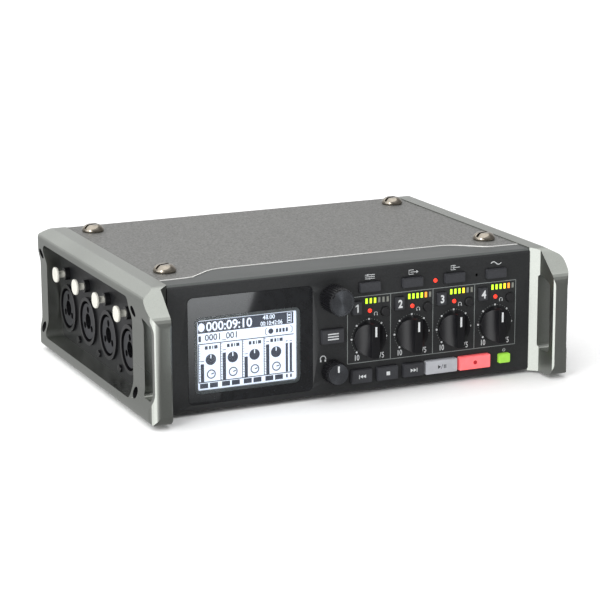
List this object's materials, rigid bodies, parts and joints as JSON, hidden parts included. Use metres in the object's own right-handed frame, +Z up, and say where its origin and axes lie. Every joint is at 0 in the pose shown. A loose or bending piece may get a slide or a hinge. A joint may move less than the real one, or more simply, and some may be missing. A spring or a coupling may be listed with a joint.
{
  "type": "portable field recorder",
  "caption": "Flat metal-cased portable audio field recorder with side input sockets, front display, trim knobs, transport keys, side guards, card door and battery tray.",
  "frame": {"origin": "centre of the overall box, at the underside of the rubber feet", "axes": "+X to the recorder's right seen from the front, +Y from the front towards the rear, +Z up; the control panel faces -Y"},
  "size_m": [0.178, 0.141, 0.0543],
  "materials": {
    "panel_black": "satin black powder coat",
    "dark_window": "gloss tinted acrylic",
    "display_white": "backlit panel",
    "cover_grey": "warm grey metallic paint",
    "chassis_black": "satin black paint",
    "frame_silver": "satin silver-grey metallic paint",
    "screw_nickel": "polished nickel",
    "screw_black": "black oxide",
    "foot_rubber": "moulded",
    "socket_black": "glass-filled black",
    "contact_gold": "gold flash",
    "plated_steel": "nickel plate",
    "led_lens": "translucent",
    "board_green": "solder mask",
    "moulded_black": "fine texture",
    "cell_jacket": "printed jacket",
    "knob_black": "satin black",
    "key_charcoal": "soft satin",
    "key_grey_clear": "translucent grey",
    "key_red_clear": "translucent red",
    "key_green_clear": "translucent, lit",
    "latch_white": "off-white"
  },
  "bodies": {
    "case": {"front_panel": "panel_black", "display_window": "dark_window", "lcd_module": "display_white", "top_cover": "cover_grey", "bottom_chassis": "chassis_black", "left_side_frame": "frame_silver", "right_side_frame": "frame_silver", "left_jack_panel": "chassis_black", "right_jack_panel": "chassis_black", "rear_panel": "chassis_black", "cover_screws": "screw_nickel", "case_screws": "screw_black", "rubber_feet": "foot_rubber", "input_jacks": "socket_black", "output_jacks": "socket_black", "output_pins": "contact_gold", "audio_jacks": "socket_black", "bnc_sockets": "plated_steel", "dc_socket": "socket_black", "usb_port": "plated_steel", "led_lenses": "led_lens", "main_board": "board_green", "control_board": "board_green", "potentiometers": "plated_steel", "battery_box": "moulded_black", "card_slots": "plated_steel"},
    "encoder_stem": {"encoder_shaft": "plated_steel"},
    "encoder_dial": {"encoder_knob": "knob_black"},
    "trim_dial_1": {"trim_knob_1": "knob_black"},
    "trim_dial_2": {"trim_knob_2": "knob_black"},
    "trim_dial_3": {"trim_knob_3": "knob_black"},
    "trim_dial_4": {"trim_knob_4": "knob_black"},
    "headphone_dial": {"headphone_knob": "knob_black"},
    "menu_key": {"menu_button": "key_charcoal"},
    "option_key": {"option_button": "key_charcoal"},
    "output_key": {"output_button": "key_charcoal"},
    "input_key": {"input_button": "key_charcoal"},
    "slate_key": {"slate_button": "key_charcoal"},
    "track_1_key": {"track_button_1": "key_charcoal"},
    "track_2_key": {"track_button_2": "key_charcoal"},
    "track_3_key": {"track_button_3": "key_charcoal"},
    "track_4_key": {"track_button_4": "key_charcoal"},
    "pfl_1_key": {"pfl_button_1": "key_charcoal"},
    "pfl_2_key": {"pfl_button_2": "key_charcoal"},
    "pfl_3_key": {"pfl_button_3": "key_charcoal"},
    "pfl_4_key": {"pfl_button_4": "key_charcoal"},
    "rewind_key": {"rewind_button": "key_charcoal"},
    "stop_key": {"stop_button": "key_charcoal"},
    "forward_key": {"forward_button": "key_charcoal"},
    "play_key": {"play_button": "key_grey_clear"},
    "record_key": {"record_button": "key_red_clear"},
    "power_key": {"power_button": "key_green_clear"},
    "latch_1": {"latch_tab_1": "latch_white"},
    "latch_2": {"latch_tab_2": "latch_white"},
    "latch_3": {"latch_tab_3": "latch_white"},
    "latch_4": {"latch_tab_4": "latch_white"},
    "battery_tray": {"battery_cover": "moulded_black", "battery_sled": "moulded_black", "battery_cells": "cell_jacket"},
    "card_flap": {"card_door": "moulded_black"}
  },
  "joints": [
    {"name": "encoder_push", "type": "slide", "parent": "case", "child": "encoder_stem", "axis": [0, 1, 0], "range_m": [0, 0.0005], "stiffness_N_per_m": 400},
    {"name": "encoder_turn", "type": "hinge", "parent": "encoder_stem", "child": "encoder_dial", "pos_m": [-0.0099, -0.062, 0.0401], "axis": [0, 1, 0], "continuous": true},
    {"name": "trim_turn_1", "type": "hinge", "parent": "case", "child": "trim_dial_1", "pos_m": [0.0061, -0.06, 0.0225], "axis": [0, 1, 0], "range_deg": [-135, 135]},
    {"name": "trim_turn_2", "type": "hinge", "parent": "case", "child": "trim_dial_2", "pos_m": [0.02464, -0.06, 0.0225], "axis": [0, 1, 0], "range_deg": [-135, 135]},
    {"name": "trim_turn_3", "type": "hinge", "parent": "case", "child": "trim_dial_3", "pos_m": [0.04318, -0.06, 0.0225], "axis": [0, 1, 0], "range_deg": [-135, 135]},
    {"name": "trim_turn_4", "type": "hinge", "parent": "case", "child": "trim_dial_4", "pos_m": [0.06172, -0.06, 0.0225], "axis": [0, 1, 0], "range_deg": [-135, 135]},
    {"name": "headphone_turn", "type": "hinge", "parent": "case", "child": "headphone_dial", "pos_m": [-0.0099, -0.06, 0.0111], "axis": [0, 1, 0], "range_deg": [-140, 140]},
    {"name": "menu_press", "type": "slide", "parent": "case", "child": "menu_key", "axis": [0, 1, 0], "range_m": [0, 0.0007], "stiffness_N_per_m": 400},
    {"name": "option_press", "type": "slide", "parent": "case", "child": "option_key", "axis": [0, 1, 0], "range_m": [0, 0.0007], "stiffness_N_per_m": 400},
    {"name": "output_press", "type": "slide", "parent": "case", "child": "output_key", "axis": [0, 1, 0], "range_m": [0, 0.0007], "stiffness_N_per_m": 400},
    {"name": "input_press", "type": "slide", "parent": "case", "child": "input_key", "axis": [0, 1, 0], "range_m": [0, 0.0007], "stiffness_N_per_m": 400},
    {"name": "slate_press", "type": "slide", "parent": "case", "child": "slate_key", "axis": [0, 1, 0], "range_m": [0, 0.0007], "stiffness_N_per_m": 400},
    {"name": "track_1_press", "type": "slide", "parent": "case", "child": "track_1_key", "axis": [0, 1, 0], "range_m": [0, 0.0007], "stiffness_N_per_m": 400},
    {"name": "track_2_press", "type": "slide", "parent": "case", "child": "track_2_key", "axis": [0, 1, 0], "range_m": [0, 0.0007], "stiffness_N_per_m": 400},
    {"name": "track_3_press", "type": "slide", "parent": "case", "child": "track_3_key", "axis": [0, 1, 0], "range_m": [0, 0.0007], "stiffness_N_per_m": 400},
    {"name": "track_4_press", "type": "slide", "parent": "case", "child": "track_4_key", "axis": [0, 1, 0], "range_m": [0, 0.0007], "stiffness_N_per_m": 400},
    {"name": "pfl_1_press", "type": "slide", "parent": "case", "child": "pfl_1_key", "axis": [0, 1, 0], "range_m": [0, 0.0007], "stiffness_N_per_m": 400},
    {"name": "pfl_2_press", "type": "slide", "parent": "case", "child": "pfl_2_key", "axis": [0, 1, 0], "range_m": [0, 0.0007], "stiffness_N_per_m": 400},
    {"name": "pfl_3_press", "type": "slide", "parent": "case", "child": "pfl_3_key", "axis": [0, 1, 0], "range_m": [0, 0.0007], "stiffness_N_per_m": 400},
    {"name": "pfl_4_press", "type": "slide", "parent": "case", "child": "pfl_4_key", "axis": [0, 1, 0], "range_m": [0, 0.0007], "stiffness_N_per_m": 400},
    {"name": "rewind_press", "type": "slide", "parent": "case", "child": "rewind_key", "axis": [0, 1, 0], "range_m": [0, 0.0007], "stiffness_N_per_m": 400},
    {"name": "stop_press", "type": "slide", "parent": "case", "child": "stop_key", "axis": [0, 1, 0], "range_m": [0, 0.0007], "stiffness_N_per_m": 400},
    {"name": "forward_press", "type": "slide", "parent": "case", "child": "forward_key", "axis": [0, 1, 0], "range_m": [0, 0.0007], "stiffness_N_per_m": 400},
    {"name": "play_press", "type": "slide", "parent": "case", "child": "play_key", "axis": [0, 1, 0], "range_m": [0, 0.0007], "stiffness_N_per_m": 400},
    {"name": "record_press", "type": "slide", "parent": "case", "child": "record_key", "axis": [0, 1, 0], "range_m": [0, 0.0007], "stiffness_N_per_m": 400},
    {"name": "power_press", "type": "slide", "parent": "case", "child": "power_key", "axis": [0, 1, 0], "range_m": [0, 0.0007], "stiffness_N_per_m": 400},
    {"name": "latch_press_1", "type": "slide", "parent": "case", "child": "latch_1", "axis": [1, 0, 0], "range_m": [0, 0.002], "stiffness_N_per_m": 500},
    {"name": "latch_press_2", "type": "slide", "parent": "case", "child": "latch_2", "axis": [1, 0, 0], "range_m": [0, 0.002], "stiffness_N_per_m": 500},
    {"name": "latch_press_3", "type": "slide", "parent": "case", "child": "latch_3", "axis": [1, 0, 0], "range_m": [0, 0.002], "stiffness_N_per_m": 500},
    {"name": "latch_press_4", "type": "slide", "parent": "case", "child": "latch_4", "axis": [1, 0, 0], "range_m": [0, 0.002], "stiffness_N_per_m": 500},
    {"name": "battery_tray_slide", "type": "slide", "parent": "case", "child": "battery_tray", "axis": [0, 1, 0], "range_m": [0, 0.056]},
    {"name": "card_door_turn", "type": "hinge", "parent": "case", "child": "card_flap", "pos_m": [0.0829, 0.0415, 0.01], "axis": [0, 1, 0], "range_deg": [0, 90]}
  ]
}
